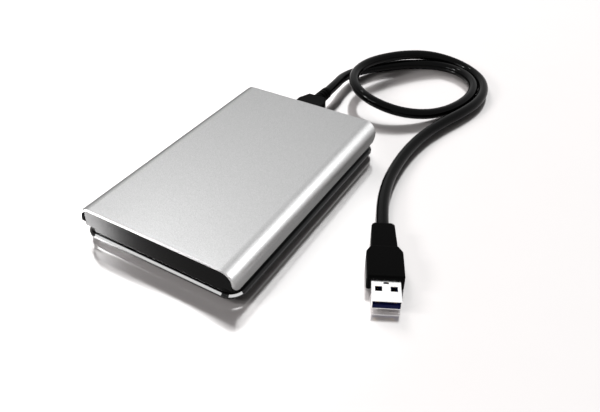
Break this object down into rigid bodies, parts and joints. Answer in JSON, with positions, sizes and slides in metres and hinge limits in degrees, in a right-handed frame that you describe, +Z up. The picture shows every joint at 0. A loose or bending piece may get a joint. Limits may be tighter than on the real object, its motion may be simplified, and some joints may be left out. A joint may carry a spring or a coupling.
{
  "type": "portable hard drive",
  "caption": "Flat portable hard drive: a silver cover on a gloss black base round a spinning disk mechanism, with a looped USB cable plugged in at its rear.",
  "frame": {"origin": "on the table, under the centre of the case, level with the undersides of the feet", "axes": "+Y along the case towards the rear wall with the USB socket, +Z up through the silver cover, +X to the right seen from the front"},
  "size_m": [0.1427, 0.2508, 0.0184],
  "materials": {
    "silver_cover": "satin, fine grain",
    "black_gloss": "polished moulding",
    "black_rubber": "soft, matte",
    "plug_black": "fine matte overmould",
    "cable_black": "smooth satin jacket",
    "bright_steel": "bright plated",
    "screw_steel": "zinc plated",
    "cast_metal": "as cast",
    "mirror_disc": "mirror polished",
    "magnet_nickel": "nickel plated",
    "coil_copper": "enamelled wire",
    "contact_gold": "gold plated",
    "board_green": "solder resist",
    "chip_black": "moulded package",
    "white_plastic": "natural moulding",
    "navy_plastic": "dyed moulding",
    "clear_plastic": "clear moulding",
    "grey_foam": "open cell foam"
  },
  "bodies": {
    "case": {"top_cover": "silver_cover", "mid_frame": "black_gloss", "bottom_cover": "black_gloss", "foot_front_left": "black_rubber", "foot_front_right": "black_rubber", "foot_rear_left": "black_rubber", "foot_rear_right": "black_rubber", "case_screws": "screw_steel", "bumper_front_left": "black_rubber", "bumper_front_right": "black_rubber", "bumper_rear_left": "black_rubber", "bumper_rear_right": "black_rubber", "foam_pad": "grey_foam", "bridge_board": "board_green", "board_screws": "screw_steel", "bridge_chip": "chip_black", "activity_led": "white_plastic", "light_pipe": "clear_plastic", "usb_socket_shell": "bright_steel", "usb_socket_tongue": "chip_black", "sata_plug": "chip_black", "sata_socket": "chip_black", "drive_base": "cast_metal", "drive_lid": "bright_steel", "lid_screws": "screw_steel", "spindle_shaft": "bright_steel", "motor_stator": "screw_steel", "pivot_post": "bright_steel", "lower_yoke": "magnet_nickel", "lower_magnet": "magnet_nickel", "upper_magnet": "magnet_nickel", "upper_yoke": "magnet_nickel", "park_ramp": "white_plastic", "drive_board": "board_green", "controller_chip": "chip_black", "memory_chip": "chip_black", "micro_b_plug_body": "plug_black", "micro_b_plug_shell": "bright_steel", "usb_a_plug_body": "plug_black", "usb_a_plug_shell": "bright_steel", "usb_a_plug_tongue": "navy_plastic", "usb_a_plug_contacts": "contact_gold", "usb_cable": "cable_black"},
    "disc_pack": {"spindle_hub": "cast_metal", "motor_magnet": "magnet_nickel", "disc_1": "mirror_disc", "disc_2": "mirror_disc", "disc_3": "mirror_disc", "disc_spacer_1": "cast_metal", "disc_spacer_2": "cast_metal", "disc_clamp": "bright_steel", "clamp_screw": "screw_steel"},
    "head_actuator": {"pivot_bearing": "bright_steel", "actuator_arm": "cast_metal", "voice_coil": "coil_copper", "suspensions": "bright_steel", "head_sliders": "chip_black"}
  },
  "joints": [
    {"name": "disc_spin", "type": "hinge", "parent": "case", "child": "disc_pack", "pos_m": [0, -0.02505, 0.0105], "axis": [0, 0, 1], "continuous": true},
    {"name": "head_swing", "type": "hinge", "parent": "case", "child": "head_actuator", "pos_m": [-0.013, 0.01487, 0.0105], "axis": [0, 0, 1], "range_deg": [-32, 0]}
  ]
}
